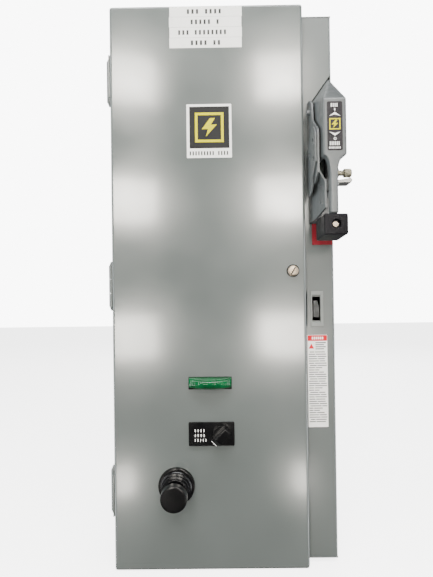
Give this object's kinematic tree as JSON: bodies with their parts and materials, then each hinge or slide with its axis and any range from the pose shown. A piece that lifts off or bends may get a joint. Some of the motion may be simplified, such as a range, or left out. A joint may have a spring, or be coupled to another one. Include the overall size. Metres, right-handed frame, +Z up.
{
  "type": "fused disconnect switch",
  "caption": "Wall-hung sheet-steel enclosure with a hinged door, a flange-mounted throw handle, blade switch, cartridge fuses and a motor starter with pilot light, selector and reset.",
  "frame": {"origin": "centre of the flat back of the enclosure, which lies on the wall", "axes": "+Z up, -Y out of the wall towards the viewer, +X to the viewer's right, the side that carries the handle"},
  "size_m": [0.2785, 0.235, 0.6454],
  "materials": {
    "grey_enamel": "semi-gloss grey enamel on sheet steel",
    "cast_grey_enamel": "grey enamel on a casting",
    "black_plastic": "black moulded plastic",
    "black_rubber": "black rubber",
    "zinc_plate": "zinc-plated steel",
    "nickel_screw": "nickel-plated brass",
    "copper": "copper alloy",
    "red_enamel": "red enamel",
    "green_lens": "clear green polycarbonate",
    "brown_phenolic": "brown phenolic moulding",
    "fuse_tube": "wound fibre tube with metal ends"
  },
  "bodies": {
    "enclosure": {"contactor_base": "black_plastic", "contactor_cover": "black_plastic", "defeater_frame": "grey_enamel", "enclosure_box": "grey_enamel", "fuse_1": "fuse_tube", "fuse_2": "fuse_tube", "fuse_3": "fuse_tube", "fuse_base": "brown_phenolic", "fuse_clip_lower_1": "copper", "fuse_clip_lower_2": "copper", "fuse_clip_lower_3": "copper", "fuse_clip_upper_1": "copper", "fuse_clip_upper_2": "copper", "fuse_clip_upper_3": "copper", "ground_lug": "copper", "handle_bracket": "cast_grey_enamel", "hasp_tab": "zinc_plate", "hinge_leaf_1": "grey_enamel", "hinge_leaf_2": "grey_enamel", "hinge_leaf_3": "grey_enamel", "line_jaw_1": "copper", "line_jaw_2": "copper", "line_jaw_3": "copper", "load_terminal_1": "copper", "load_terminal_2": "copper", "load_terminal_3": "copper", "lock_bolt": "zinc_plate", "lock_plate": "cast_grey_enamel", "lockout_plate": "red_enamel", "mounting_plate": "zinc_plate", "overload_relay": "black_plastic", "pivot_pin": "zinc_plate", "screw_clip": "zinc_plate", "side_flange": "grey_enamel", "switch_base": "brown_phenolic"},
    "door": {"door_leaf_1": "grey_enamel", "door_leaf_2": "grey_enamel", "door_leaf_3": "grey_enamel", "door_panel": "grey_enamel", "pilot_lamp_holder": "black_plastic", "pilot_lens": "green_lens", "reset_boot": "black_rubber", "reset_panel_nut": "black_plastic", "selector_contact_block": "black_plastic", "selector_plate": "black_plastic"},
    "door_screw": {"door_screw": "nickel_screw"},
    "selector_knob": {"selector_knob": "black_plastic"},
    "reset_button": {"reset_button": "black_plastic"},
    "handle": {"handle_lever": "cast_grey_enamel", "handle_grip": "black_plastic", "grip_screw": "nickel_screw"},
    "link": {"drive_link": "zinc_plate"},
    "rotor": {"rotor_shaft": "black_plastic", "blade_1": "copper", "blade_2": "copper", "blade_3": "copper"},
    "contact_carrier": {"contact_carrier": "brown_phenolic"},
    "overload_reset": {"overload_reset_pin": "red_enamel"},
    "defeater": {"defeater_lever": "zinc_plate"}
  },
  "joints": [
    {"name": "door_hinge", "type": "hinge", "parent": "enclosure", "child": "door", "pos_m": [-0.134, -0.16, 0], "axis": [0, 0, -1], "range_deg": [0, 150]},
    {"name": "door_screw_turn", "type": "hinge", "parent": "door", "child": "door_screw", "pos_m": [0.077, -0.18, 0.0175], "axis": [0, -1, 0], "continuous": true},
    {"name": "selector_turn", "type": "hinge", "parent": "door", "child": "selector_knob", "pos_m": [-0.0065, -0.18, -0.1665], "axis": [0, 1, 0], "range_deg": [0, 90]},
    {"name": "reset_push", "type": "slide", "parent": "door", "child": "reset_button", "axis": [0, 1, 0], "range_m": [0, 0.006], "stiffness_N_per_m": 300, "springref_m": -0.002},
    {"name": "handle_throw", "type": "hinge", "parent": "enclosure", "child": "handle", "pos_m": [0.1035, -0.18, 0.198], "axis": [-1, 0, 0], "range_deg": [0, 60]},
    {"name": "link_pivot", "type": "hinge", "parent": "handle", "child": "link", "pos_m": [0.107, -0.16643, 0.17351], "axis": [-1, 0, 0], "range_deg": [-60, 0]},
    {"name": "rotor_turn", "type": "hinge", "parent": "enclosure", "child": "rotor", "pos_m": [0, -0.062, 0.175], "axis": [-1, 0, 0], "range_deg": [0, 60]},
    {"name": "carrier_travel", "type": "slide", "parent": "enclosure", "child": "contact_carrier", "axis": [0, 1, 0], "range_m": [0, 0.005], "stiffness_N_per_m": 300, "springref_m": -0.002},
    {"name": "overload_reset", "type": "slide", "parent": "enclosure", "child": "overload_reset", "axis": [0, 1, 0], "range_m": [0, 0.003], "stiffness_N_per_m": 300, "springref_m": -0.002},
    {"name": "defeater_slide", "type": "slide", "parent": "enclosure", "child": "defeater", "axis": [0, 0, -1], "range_m": [0, 0.003], "stiffness_N_per_m": 200, "springref_m": -0.002}
  ],
  "couplings": [
    {"joint": "link_pivot", "follows": "handle_throw", "ratio": -1},
    {"joint": "rotor_turn", "follows": "handle_throw", "ratio": 1}
  ]
}
